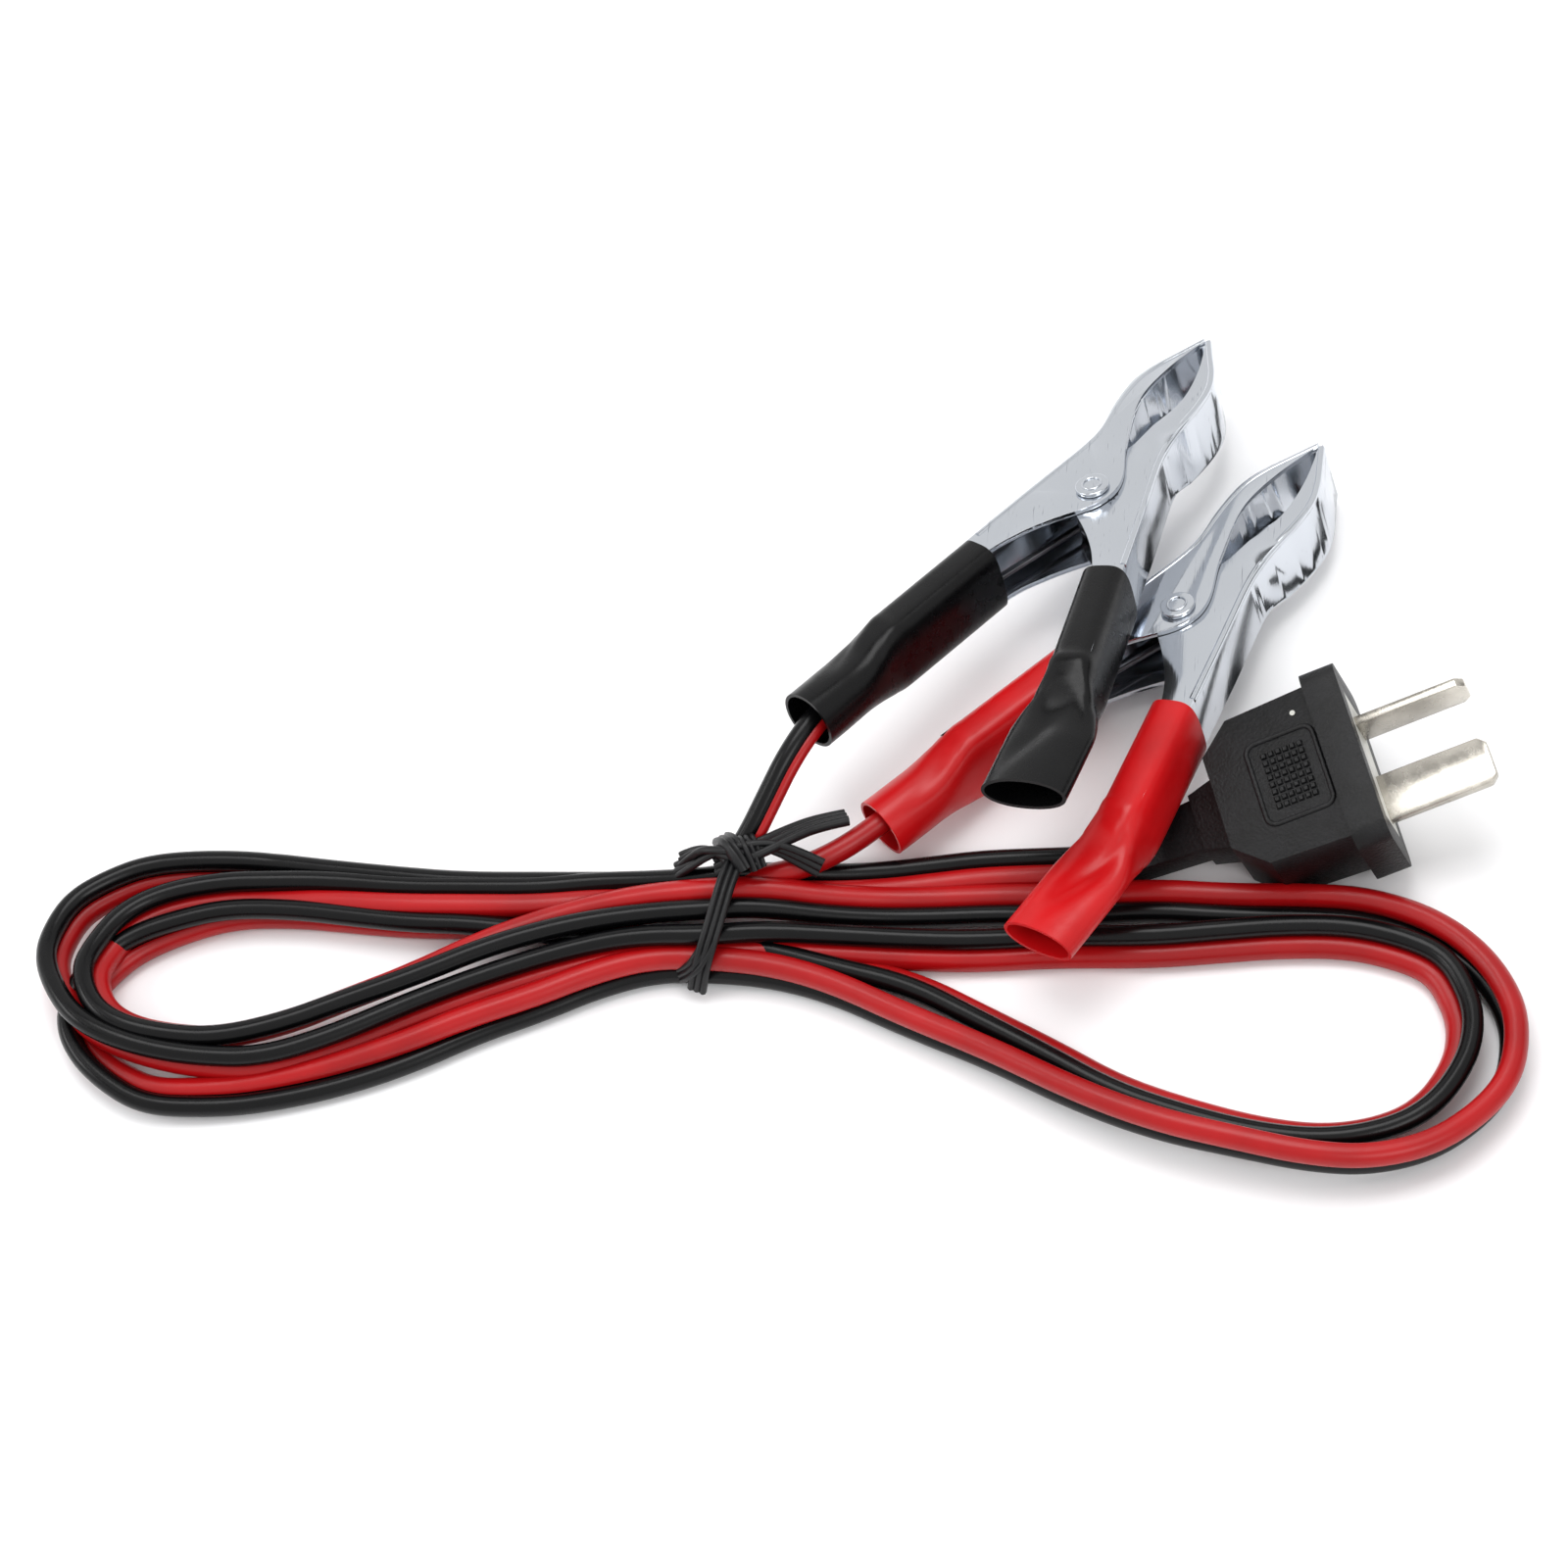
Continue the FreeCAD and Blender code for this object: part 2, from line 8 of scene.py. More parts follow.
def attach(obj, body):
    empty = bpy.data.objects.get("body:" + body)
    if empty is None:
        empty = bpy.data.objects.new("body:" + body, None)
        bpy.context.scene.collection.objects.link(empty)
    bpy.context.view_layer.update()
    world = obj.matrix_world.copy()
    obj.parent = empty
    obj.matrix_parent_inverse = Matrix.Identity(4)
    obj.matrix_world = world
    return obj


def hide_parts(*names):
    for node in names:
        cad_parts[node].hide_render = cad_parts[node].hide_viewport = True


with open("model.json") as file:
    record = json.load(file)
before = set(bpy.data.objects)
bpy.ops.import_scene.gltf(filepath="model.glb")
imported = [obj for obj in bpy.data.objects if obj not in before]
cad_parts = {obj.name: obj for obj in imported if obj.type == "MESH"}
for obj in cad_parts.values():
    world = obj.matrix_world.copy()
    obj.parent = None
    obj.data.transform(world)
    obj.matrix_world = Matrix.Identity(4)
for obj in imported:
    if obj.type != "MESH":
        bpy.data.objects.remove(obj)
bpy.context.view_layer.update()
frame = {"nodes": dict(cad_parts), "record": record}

nodes = frame["nodes"]
mm = 0.001

# The cord is laid out from the tie, as in the CAD, and tieOffset takes it to the row frame.
tieOffset = Vector((-45, -18, 0))


def place(point):
    return (Vector(point) + tieOffset) * mm


def linear(hexColour):
    channels = [int(hexColour[i:i + 2], 16) / 255 for i in (0, 2, 4)]
    return [c / 12.92 if c <= 0.04045 else ((c + 0.055) / 1.055) ** 2.4 for c in channels] + [1.0]


def addNode(tree, kind, settings=None, **links):
    node = tree.nodes.new(kind)
    for name, value in (settings or {}).items():
        if hasattr(node, name):
            setattr(node, name, value)
        else:
            node.inputs[name].default_value = value
    for name, socket in links.items():
        tree.links.new(socket, node.inputs[name.replace("_", " ")])
    return node


def baseMaterial(name, hexColour, metallic, roughness, shine=0.34):
    material = bpy.data.materials.new(name)
    material.use_nodes = True
    tree = material.node_tree
    shader = tree.nodes["Principled BSDF"]
    shader.inputs["Base Color"].default_value = linear(hexColour)
    shader.inputs["Metallic"].default_value = metallic
    shader.inputs["Roughness"].default_value = roughness
    shader.inputs["Specular IOR Level"].default_value = shine
    place3d = addNode(tree, "ShaderNodeTexCoord")
    return material, tree, shader, place3d.outputs["Object"]


def mottled(name, hexColour, darkHex, metallic, roughness, grain, bump, shine=0.34):
    material, tree, shader, where = baseMaterial(name, hexColour, metallic, roughness[0], shine)
    cloud = addNode(tree, "ShaderNodeTexNoise", {"Scale": grain * 0.12, "Detail": 4.0}, Vector=where)
    fine = addNode(tree, "ShaderNodeTexNoise", {"Scale": grain, "Detail": 6.0}, Vector=where)
    tone = addNode(tree, "ShaderNodeMix", {"data_type": "RGBA"})
    tone.inputs[6].default_value = linear(hexColour)
    tone.inputs[7].default_value = linear(darkHex)
    fade = addNode(tree, "ShaderNodeMapRange", {"From Min": 0.38, "From Max": 0.62},
                   Value=cloud.outputs["Fac"])
    tree.links.new(fade.outputs[0], tone.inputs[0])
    tree.links.new(tone.outputs[2], shader.inputs["Base Color"])
    rough = addNode(tree, "ShaderNodeMapRange", {"To Min": roughness[0], "To Max": roughness[1]},
                    Value=fine.outputs["Fac"])
    tree.links.new(rough.outputs[0], shader.inputs["Roughness"])
    relief = addNode(tree, "ShaderNodeBump", {"Strength": bump, "Distance": 0.0002},
                     Height=fine.outputs["Fac"])
    tree.links.new(relief.outputs["Normal"], shader.inputs["Normal"])
    return material


def platedMetal(name):
    material, tree, shader, where = baseMaterial(name, "d9dade", 1.0, 0.2)
    cloud = addNode(tree, "ShaderNodeTexNoise", {"Scale": 130.0, "Detail": 1.5}, Vector=where)
    stretch = addNode(tree, "ShaderNodeMapping", {"Scale": (3800, 60, 900), "Rotation": (0.4, 0.2, 0.9)},
                      Vector=where)
    scratch = addNode(tree, "ShaderNodeTexNoise", {"Scale": 1.0, "Detail": 3.0}, Vector=stretch.outputs[0])
    rough = addNode(tree, "ShaderNodeMapRange", {"From Min": 0.35, "From Max": 0.7, "To Min": 0.1,
                                                 "To Max": 0.22}, Value=cloud.outputs["Fac"])
    tree.links.new(rough.outputs[0], shader.inputs["Roughness"])
    tone = addNode(tree, "ShaderNodeMix", {"data_type": "RGBA"})
    tone.inputs[6].default_value = linear("cdd1d7")
    tone.inputs[7].default_value = linear("989ca3")
    fade = addNode(tree, "ShaderNodeMapRange", {"From Min": 0.66, "From Max": 0.76},
                   Value=scratch.outputs["Fac"])
    tree.links.new(fade.outputs[0], tone.inputs[0])
    tree.links.new(tone.outputs[2], shader.inputs["Base Color"])
    relief = addNode(tree, "ShaderNodeBump", {"Strength": 0.05, "Distance": 0.0002},
                     Height=scratch.outputs["Fac"])
    dents = addNode(tree, "ShaderNodeBump", {"Strength": 0.03, "Distance": 0.0008},
                    Height=cloud.outputs["Fac"], Normal=relief.outputs["Normal"])
    tree.links.new(dents.outputs["Normal"], shader.inputs["Normal"])
    return material


materials = {
    # Bright plated sheet of the jaws: sharp reflections, with faint streaks.
    "plated": platedMetal("plated sheet"),
    # Drawn spring wire: a darker, duller grey than the jaws.
    "spring": mottled("spring steel", "8c8d92", "5c5d62", 1.0, (0.25, 0.42), 900, 0.1),
    # Bare wire in the crimp: a small warm brown glint.
    "copper": mottled("copper", "b8693a", "8a4a28", 1.0, (0.3, 0.45), 900, 0.1),
    # Dipped black sleeve: deep black with a soft, narrow sheen.
    "blackVinyl": mottled("black vinyl", "050506", "0a0a0b", 0.0, (0.2, 0.36), 500, 0.12, 0.22),
    # Dipped red sleeve: strong red with soft highlights.
    "redVinyl": mottled("red vinyl", "c40c12", "b0090e", 0.0, (0.24, 0.4), 500, 0.16),
    # Moulded plug: black with a fine grain that breaks up the light.
    "plugRubber": mottled("plug rubber", "070708", "0f0f11", 0.0, (0.36, 0.56), 2200, 0.7, 0.3),
    # Insert between the blades: matt off-white plastic.
    "holder": mottled("blade holder", "cfcfca", "b9b9b2", 0.0, (0.4, 0.55), 900, 0.1),
    # Nickel-plated blades: warm grey metal.
    "blade": mottled("nickel blade", "cfcac0", "a8a39a", 1.0, (0.18, 0.34), 700, 0.12),
    # Black strand: smooth, with a thin bright line along it.
    "blackCord": mottled("black strand", "040405", "080809", 0.0, (0.2, 0.32), 420, 0.1, 0.24),
    # Red strand: a darker red than the sleeve, with a thin highlight.
    "redCord": mottled("red strand", "a6090e", "92070b", 0.0, (0.26, 0.4), 420, 0.16),
    # Tie: matt black, so that its ribs show only as grey edges.
    "tie": mottled("tie ribbon", "08080a", "0f0f11", 0.0, (0.34, 0.5), 900, 0.3),
    # End of the moulding core on the plug: a small pale dot.
    "pin": mottled("moulding core", "c9c9c4", "b5b5ae", 0.0, (0.5, 0.6), 900, 0.1),
}


def wear(piece, material):
    piece.data.materials.clear()
    piece.data.materials.append(materials[material])


def selectOnly(piece):
    bpy.ops.object.select_all(action="DESELECT")
    piece.select_set(True)
    bpy.context.view_layer.objects.active = piece


def applyAll(piece):
    selectOnly(piece)
    for modifier in list(piece.modifiers):
        bpy.ops.object.modifier_apply(modifier=modifier.name)


def meshPiece(name, points, faces):
    mesh = bpy.data.meshes.new(name)
    mesh.from_pydata([tuple(p) for p in points], [], faces)
    mesh.update()
    piece = bpy.data.objects.new(name, mesh)
    bpy.context.collection.objects.link(piece)
    return piece


def smoothed(piece, angle, merge=0.0):
    selectOnly(piece)
    bpy.ops.object.mode_set(mode="EDIT")
    bpy.ops.mesh.select_all(action="SELECT")
    if merge:
        bpy.ops.mesh.remove_doubles(threshold=merge)
    bpy.ops.mesh.normals_make_consistent(inside=False)
    bpy.ops.object.mode_set(mode="OBJECT")
    bpy.ops.object.shade_smooth_by_angle(angle=math.radians(angle))


def refined(name, node, material, bevel, angle=40):
    source = nodes[node]
    piece = bpy.data.objects.new(name, source.data.copy())
    bpy.context.collection.objects.link(piece)
    selectOnly(piece)
    bpy.ops.object.mode_set(mode="EDIT")
    bpy.ops.mesh.select_all(action="SELECT")
    bpy.ops.mesh.remove_doubles(threshold=0.00001)
    bpy.ops.mesh.dissolve_limited(angle_limit=math.radians(0.6))
    bpy.ops.object.mode_set(mode="OBJECT")
    if bevel:
        edge = piece.modifiers.new("edge", "BEVEL")
        edge.width = bevel
        edge.segments = 2
        edge.limit_method = "ANGLE"
        edge.angle_limit = math.radians(angle)
        edge.use_clamp_overlap = True
        applyAll(piece)
    selectOnly(piece)
    bpy.ops.object.shade_smooth_by_angle(angle=math.radians(angle))
    wear(piece, material)
    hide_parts(node)
    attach(piece, bodyOf(node))
    return piece


def bodyOf(node):
    for body, members in frame["record"]["behaviour"]["bodies"].items():
        if node in members:
            return body
    return "root"


def aimCamera():
    view = {"azimuth": 16.93, "elevation": 55.0, "roll": 14.0, "distance": 0.6944, "lens": 100.0}
    around, up, lean = (math.radians(view[k]) for k in ("azimuth", "elevation", "roll"))
    forward = Vector((-math.sin(around) * math.cos(up), math.cos(around) * math.cos(up), -math.sin(up)))
    level = Vector((math.cos(around), math.sin(around), 0))
    upright = level.cross(forward)
    right = level * math.cos(lean) - upright * math.sin(lean)
    top = upright * math.cos(lean) + level * math.sin(lean)
    data = bpy.data.cameras.new("camera")
    data.lens = view["lens"]
    data.sensor_width = 36.0
    camera = bpy.data.objects.new("camera", data)
    bpy.context.collection.objects.link(camera)
    turn = Matrix((right, top, -forward)).transposed().to_4x4()
    camera.matrix_world = Matrix.Translation(place((0, 0, 0)) - forward * view["distance"]) @ turn
    bpy.context.scene.camera = camera


aimCamera()
print("camera")


plugRun = [
    (53.4, -16.8, 2.7, 180), (47.0, -16.9, 2.2, 180), (40, -17.1, 2.1, 180), (33, -17.5, 2.1, 180),
    (25.5, -18.6, 2.1, 180), (17.9, -20.0, 2.6, 180), (10.4, -21.2, 3.8, 180)]
hankRun = [
    (3, -22, 5.4, 175), (-4, -23, 6.6, 165), (-10, -24, 6.6, 165), (-18, -24, 5.8, 170),
    (-27, -24, 5.6, 178), (-36, -25, 5.6, 180), (-47, -25, 5.6, 180), (-58, -25, 5.6, 180),
    (-70, -24, 5.4, 165), (-79, -24, 5.2, 140), (-87, -24, 5.2, 122), (-96, -26, 5.4, 117),
    (-102, -30, 5.8, 117), (-105, -36, 6.4, 117), (-106, -41, 7.2, 117), (-103, -47, 7.4, 117),
    (-98, -50, 7.0, 117), (-91, -51, 6.0, 117), (-83, -51, 5.4, 117), (-73, -48, 5.2, 118),
    (-64, -44, 5.6, 122), (-54, -40, 6.2, 128), (-42, -34, 6.8, 140), (-30, -30, 7.4, 155),
    (-19, -28, 8.0, 170), (-8, -27, 8.2, 178), (0, -26, 7.2, 180), (11, -26, 4.6, 180),
    (22, -25, 2.4, 180), (36, -24, 2.0, 180), (48, -24, 2.0, 182), (60, -23, 2.0, 185),
    (72, -24, 2.2, 190), (83, -24, 2.4, 200), (93, -25, 2.9, 215), (103, -29, 3.4, 235),
    (110, -35, 3.5, 247), (114, -42, 3.5, 252), (115, -48, 3.5, 255), (114, -55, 3.6, 255),
    (110, -61, 3.8, 256), (103, -67, 4.6, 258), (94, -70, 5.6, 260), (85, -70, 6.6, 262),
    (75, -68, 7.0, 264), (63, -65, 6.6, 268), (51, -60, 6.0, 270), (37, -52, 4.6, 270),
    (24, -46, 3.8, 272), (12, -40, 3.6, 274), (2, -37, 3.5, 277), (-8, -36, 3.4, 280),
    (-17, -36, 3.3, 283), (-26, -39, 3.2, 286), (-34, -43, 3.2, 290), (-44, -47, 3.1, 298),
    (-54, -52, 2.8, 318), (-65, -56, 2.2, 340), (-77, -59, 1.9, 358), (-86, -60, 1.9, 368),
    (-94, -60, 2.0, 378), (-100, -57, 2.2, 392), (-105, -53, 2.4, 405), (-108, -48, 2.4, 411),
    (-108, -42, 2.4, 414), (-105, -37, 2.6, 418), (-101, -33, 2.9, 428), (-95, -30, 3.2, 442),
    (-86, -27, 3.5, 456), (-75, -27, 3.5, 461), (-66, -28, 3.2, 464), (-56, -29, 2.8, 468),
    (-46, -29, 2.4, 474), (-36, -30, 2.0, 482), (-26, -31, 1.9, 487), (-17, -31, 1.9, 490),
    (-8, -31, 1.9, 490), (2, -33, 1.9, 487), (12, -36, 1.9, 485), (24, -39, 1.9, 486),
    (35, -45, 1.9, 488), (46, -51, 1.9, 490), (56, -57, 1.9, 490), (67, -61, 1.9, 490),
    (78, -64, 2.2, 488), (88, -65, 2.8, 485), (97, -63, 3.2, 484), (103, -59, 3.4, 484),
    (107, -52, 3.4, 486), (108, -46, 3.4, 488), (107, -41, 3.4, 490), (104, -35, 3.4, 490),
    (98, -32, 3.4, 490), (90, -30, 3.4, 490), (80, -30, 3.4, 488), (70, -31, 3.4, 486),
    (60, -32, 3.4, 484), (46, -32, 3.4, 482), (34, -33, 3.5, 481), (23, -33, 3.8, 481),
    (12, -33, 4.8, 482), (1, -33, 5.8, 483), (-8, -34, 6.2, 483), (-19, -34, 6.0, 482),
    (-29, -36, 5.4, 480), (-41, -40, 4.8, 478), (-53, -45, 4.4, 472), (-65, -51, 4.2, 464),
    (-76, -55, 4.4, 456), (-86, -55, 5.0, 450), (-94, -54, 5.8, 446), (-101, -52, 6.8, 442),
    (-106, -49, 7.2, 438), (-110, -44, 6.6, 434), (-113, -38, 5.8, 430), (-113, -33, 5.2, 428),
    (-111, -27, 4.8, 427), (-106, -23, 4.5, 427), (-100, -20, 4.2, 427), (-91, -19, 4.0, 428),
    (-81, -19, 3.6, 432), (-72, -20, 2.8, 440), (-61, -21, 2.0, 448), (-49, -22, 1.9, 452),
    (-36, -22, 1.9, 452), (-24, -22, 2.0, 450), (-13, -22, 2.8, 448), (-6, -22, 5.2, 446)]
blackLead = [
    (-6, -21, 8), (-3, -18.2, 11), (0.5, -12.5, 15), (4, -6.5, 18.8), (8.5, 0.9, 20.1),
    (12.8, 6.3, 19.4), (17, 11.6, 18.6)]
redLead = [
    (-4.5, -22.2, 5.8), (1, -21.5, 6.6), (6.5, -20.2, 7.2), (12.5, -17.2, 8), (18.4, -12, 8.2),
    (23.1, -7.5, 8.3), (27.7, -3.3, 8.4)]
strands = {"blackRadius": 1.65, "redRadius": 1.85, "halfSpacing": 1.7, "rib": 0.16}


def curveObject(name, points, bevel=0.0):
    data = bpy.data.curves.new(name, "CURVE")
    data.dimensions = "3D"
    data.resolution_u = 8
    data.bevel_depth = bevel
    data.bevel_resolution = 5
    spline = data.splines.new("NURBS")
    spline.points.add(len(points) - 1)
    for held, point in zip(spline.points, points):
        held.co = (*point, 1.0)
    spline.order_u = 3
    spline.use_endpoint_u = True
    piece = bpy.data.objects.new(name, data)
    bpy.context.collection.objects.link(piece)
    return piece


def evaluated(points):
    holder = curveObject("line", points)
    bpy.context.view_layer.update()
    mesh = bpy.data.meshes.new_from_object(holder)
    line = [v.co.copy() for v in mesh.vertices]
    bpy.data.objects.remove(holder)
    return line


# The figure-8 outline as (across, up, is it black), in millimetres.
def strandSection():
    outline = []
    for black, radius in ((True, strands["blackRadius"]), (False, strands["redRadius"])):
        side = 1 if black else -1
        steps = 16
        reach = math.acos(-strands["halfSpacing"] / radius) if radius > strands["halfSpacing"] else 2.88
        for i in range(steps + 1):
            turn = -reach + 2 * reach * i / steps
            grown = radius + (strands["rib"] if not black and i == steps // 2 + 2 else 0)
            outline.append((side * (strands["halfSpacing"] + grown * math.cos(turn)),
                            side * grown * math.sin(turn), black))
    return outline


def buildTwinCord():
    route = plugRun + hankRun
    centre = evaluated([place(p[:3]) for p in route])
    twist = [v.x for v in evaluated([(math.radians(p[3]), i, 0) for i, p in enumerate(route)])]
    for middle, turn in zip(centre, twist):
        drop = strands["halfSpacing"] * math.sin(turn)
        middle.z = max(middle.z, (strands["blackRadius"] - drop) * mm, (strands["redRadius"] + drop) * mm)
    outline = strandSection()
    points = []
    for i, middle in enumerate(centre):
        ahead = centre[min(i + 1, len(centre) - 1)] - centre[max(i - 1, 0)]
        ahead.normalize()
        left = Vector((0, 0, 1)).cross(ahead).normalized()
        up = ahead.cross(left)
        across = left * math.cos(twist[i]) + up * math.sin(twist[i])
        over = ahead.cross(across)
        for a, b, black in outline:
            points.append(middle + (across * a + over * b) * mm)
    ring = len(outline)
    faces = []
    isBlack = []
    for i in range(len(centre) - 1):
        for j in range(ring):
            k = (j + 1) % ring
            faces.append((i * ring + j, i * ring + k, (i + 1) * ring + k, (i + 1) * ring + j))
            isBlack.append(outline[j][2])
    for first, order in ((0, -1), ((len(centre) - 1) * ring, 1)):
        for half in (range(ring // 2), range(ring // 2, ring)):
            faces.append(tuple(first + j for j in half)[::order])
            isBlack.append(half.start == 0)
    piece = meshPiece("twinCord", points, faces)
    piece.data.materials.append(materials["blackCord"])
    piece.data.materials.append(materials["redCord"])
    for face, black in zip(piece.data.polygons, isBlack):
        face.material_index = 0 if black else 1
    smoothed(piece, 50, merge=0.000002)
    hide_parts("cord_hank", "cord_plug_run")
    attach(piece, "root")
    length = sum((b - a).length for a, b in zip(centre, centre[1:]))
    print("twin cord length", round(length, 3))
    return piece, centre, length


def buildLead(name, points, radius, node, material):
    piece = curveObject(name, [place(p) for p in points], radius * mm)
    piece.data.use_fill_caps = True
    piece.data.materials.append(materials[material])
    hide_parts(node)
    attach(piece, "root")
    line = evaluated([place(p) for p in points])
    length = sum((b - a).length for a, b in zip(line, line[1:]))
    return piece, length


twinCord, twinLine, twinLength = buildTwinCord()
blackLeadPiece, blackLength = buildLead("blackLead", blackLead[::-1], strands["blackRadius"], "black_lead",
                                        "blackCord")
redLeadPiece, redLength = buildLead("redLead", redLead[::-1], strands["redRadius"], "red_lead",
                                    "redCord")
stripPoints = [(x + 1.3, y - 0.9, z - 0.5) for x, y, z in blackLead[:6]]
tornStrip = curveObject("tornStrip", [place(p) for p in stripPoints], 0.0010)
tornStrip.data.use_fill_caps = True
tornStrip.data.materials.append(materials["redCord"])
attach(tornStrip, "root")
print("cords")


# Each clip's rivet and lean, as in the CAD: yaw of the nose, nose-down pitch, right-side-up roll.
clipPlaces = {
    "black": ((49.5, 41.2, 15.6), (65.7, 10.0, -13.0)),
    "red": ((63.7, 22.6, 9.2), (57.9, 2.9, -14.0)),
}
plugPlace = ((93.4, -5.3, 13.25), (16.0, -14.5, 7.5))


def placement(where):
    at, (yaw, pitch, roll) = where
    turn = Matrix.Rotation(math.radians(yaw), 4, "Z")
    turn = turn @ Matrix.Rotation(math.radians(pitch), 4, "Y") @ Matrix.Rotation(math.radians(roll), 4, "X")
    return Matrix.Translation(place(at)) @ turn @ Matrix.Scale(mm, 4)


def eased(t, low, high):
    k = min(max((t - low) / (high - low), 0), 1)
    return k * k * (3 - 2 * k)


def bell(x, middle, spread):
    return math.exp(-((x - middle) / spread) ** 2)


handle = {"spread": 14.7, "line": (-15.0, 13.6), "inward": 2.9, "metalEnd": 21.6, "straight": 19.0}
sleeveShapes = {
    ("black", "left"): {"start": -17.0, "length": 40.5, "bend": 0.0, "mouth": (4.9, 5.0), "dent": 0.5,
                        "dentAt": (0.72, 1.2), "waist": 0.25},
    ("red", "left"): {"start": -14.5, "length": 40.5, "bend": 0.0, "mouth": (4.8, 4.9), "dent": 0.4,
                      "dentAt": (0.74, 1.9), "waist": 0.25},
    ("black", "right"): {"start": -17.0, "length": 46.0, "bend": 6.0, "mouth": (3.0, 6.9), "dent": 1.7,
                         "dentAt": (0.75, 1.75), "waist": 0.7},
    ("red", "right"): {"start": -17.0, "length": 46.0, "bend": 14.0, "mouth": (3.2, 6.4), "dent": 1.5,
                       "dentAt": (0.72, 1.3), "waist": 0.6},
}


# The sleeve's middle at a run along it, and its heading, in the clip's own frame.
def sleeveCentre(shape, side, run):
    spread = math.radians(handle["spread"])
    bend = math.radians(shape["bend"])
    x0, y0 = handle["line"]
    along = (x0 - shape["start"]) / math.cos(spread)
    x = shape["start"] - handle["inward"] * math.sin(spread)
    y = y0 + along * math.sin(spread) - handle["inward"] * math.cos(spread)
    straight = min(run, handle["straight"])
    x -= straight * math.cos(spread)
    y += straight * math.sin(spread)
    heading = spread
    past = max(run - handle["straight"], 0)
    steps = 12
    for i in range(steps):
        heading = spread - bend * eased((i + 0.5) * past / steps, 0, 6)
        x -= past / steps * math.cos(heading)
        y += past / steps * math.sin(heading)
    flip = 1 if side == "left" else -1
    return Vector((x, y * flip, 0)), Vector((math.sin(heading), math.cos(heading) * flip, 0))


# The sleeve over the metal is a squared oval, and it rounds off towards its mouth.
section = {"tall": 6.2, "wide": 3.95, "square": 3.4, "round": 2.1, "wall": 0.55, "rings": 56, "around": 64}


def sleeveRing(shape, side, t, wall):
    middle, across = sleeveCentre(shape, side, t * shape["length"])
    metal = handle["metalEnd"] / shape["length"]
    soft = eased(t, metal + 0.01, metal + 0.27)
    pinch = shape["waist"] * bell(t, metal + 0.15, 0.09)
    tall = section["tall"] * (1 - soft) + shape["mouth"][0] * soft - pinch * 1.6 - wall
    wide = section["wide"] * (1 - soft) + shape["mouth"][1] * soft + pinch * 0.3 - wall
    power = 2 / (section["square"] * (1 - soft) + section["round"] * soft)
    dentRun, dentTurn = shape["dentAt"]
    ring = []
    count = section["around"]
    for i in range(count):
        turn = 2 * math.pi * i / count
        c, s = math.cos(turn), math.sin(turn)
        a = math.copysign(abs(c) ** power, c) * wide
        b = math.copysign(abs(s) ** power, s) * tall
        crease = bell(t, dentRun, 0.15) * bell(turn - 2.4 * (t - dentRun), dentTurn, 0.34)
        folded = 1 - shape["dent"] / section["tall"] * crease
        folded += 0.09 * shape["waist"] * bell(t, metal, 0.025) * bell(turn, math.pi / 2, 1.1)
        folded -= 0.05 * shape["waist"] * bell(t, metal + 0.09 + 0.04 * math.sin(turn * 3), 0.02)
        folded += 0.012 * math.sin(turn * 3 + t * 9) * soft
        ring.append(middle + across * (a * folded) + Vector((0, 0, b * folded)))
    return ring


def buildSleeve(colour, side):
    shape = sleeveShapes[(colour, side)]
    where = placement(clipPlaces[colour])
    wall = section["wall"]
    rings = section["rings"]
    points = []
    for inner in (0, wall):
        for i in range(rings + 1):
            t = i / rings if not inner else 1 - i / rings
            points += sleeveRing(shape, side, t, inner)
    around = section["around"]
    total = 2 * (rings + 1)
    faces = []
    for i in range(total):
        for j in range(around):
            k = (j + 1) % around
            n = (i + 1) % total
            faces.append((i * around + j, n * around + j, n * around + k, i * around + k))
    piece = meshPiece(f"{colour}{side.capitalize()}Sleeve", [where @ p for p in points], faces)
    smoothed(piece, 50)
    wear(piece, colour + "Vinyl")
    node = f"{colour}_{side}_sleeve"
    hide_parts(node)
    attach(piece, bodyOf(node))


# The web line of a jaw, handle to nose, as in the CAD, and the half width that its top bend follows.
webLine = [
    (-15, 13.6), (-5.5, 11.1), (3.5, 8.6), (9.5, 6.9), (14, 6.2), (18.5, 6.8), (23.5, 7.2),
    (28, 6.9), (32, 5.4), (36, 3.0), (39.6, 0.9)]
bend = {"radius": 0.62, "inset": 0.46, "full": 5.6, "nested": 4.7, "nestedEnd": 15.0}


def buildBends(colour):
    where = placement(clipPlaces[colour])
    for side, jaw in ((1, "outer_jaw"), (-1, "inner_jaw")):
        line = []
        for x, y in webLine:
            nested = jaw == "inner_jaw" and x < bend["nestedEnd"]
            half = bend["nested"] if nested else bend["full"]
            line.append(where @ Vector((x, side * (y - bend["inset"]), half - bend["inset"])))
        piece = curveObject(f"{colour}{'Left' if side > 0 else 'Right'}Bend", line, bend["radius"] * mm)
        piece.data.use_fill_caps = True
        piece.data.materials.append(materials["plated"])
        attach(piece, bodyOf(f"{colour}_{jaw}"))


rivetTop = {"capRadius": 2.75, "capDepth": 0.8, "capHeight": 6.1, "edge": 0.22,
            "ringRadius": 1.5, "ringWire": 0.2, "ringHeight": 6.55}


